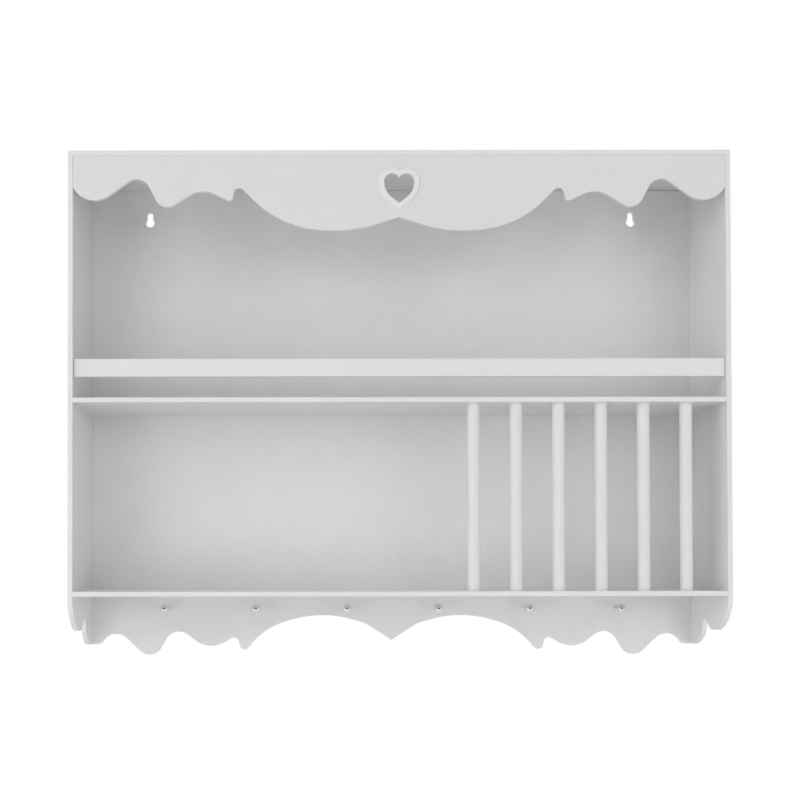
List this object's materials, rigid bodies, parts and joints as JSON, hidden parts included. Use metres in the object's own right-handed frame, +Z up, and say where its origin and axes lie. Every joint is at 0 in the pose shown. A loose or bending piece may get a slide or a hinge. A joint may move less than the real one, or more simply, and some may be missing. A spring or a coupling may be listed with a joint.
{
  "type": "wall shelf with plate rack and pegs",
  "caption": "Painted wall shelf: shallow open case with a scalloped valance and heart cut-out, guard rail, upright dowel plate rack, and scalloped apron with a row of ball-ended pegs.",
  "frame": {"origin": "on the wall plane at the back, midway between the tops of the two keyhole slots, where the hanging screws sit", "axes": "+X to the right as seen from the front, +Y into the wall, +Z up"},
  "size_m": [0.8, 0.152, 0.619],
  "materials": {
    "painted_board": "satin off-white paint on smooth board",
    "painted_dowel": "satin off-white paint on turned wood",
    "peg_metal": "bright plated",
    "pin_steel": "plain, heads painted over"
  },
  "bodies": {
    "root": {"left_side": "painted_board", "right_side": "painted_board", "top_board": "painted_board", "front_valance": "painted_board", "heart_rim": "painted_board", "back_panel": "painted_board", "guard_rail": "painted_board", "middle_shelf": "painted_board", "bottom_shelf": "painted_board", "rack_dowel_1": "painted_dowel", "rack_dowel_2": "painted_dowel", "rack_dowel_3": "painted_dowel", "rack_dowel_4": "painted_dowel", "rack_dowel_5": "painted_dowel", "rack_dowel_6": "painted_dowel", "peg_1": "peg_metal", "peg_2": "peg_metal", "peg_3": "peg_metal", "peg_4": "peg_metal", "peg_5": "peg_metal", "peg_6": "peg_metal", "panel_pins": "pin_steel"}
  },
  "joints": []
}
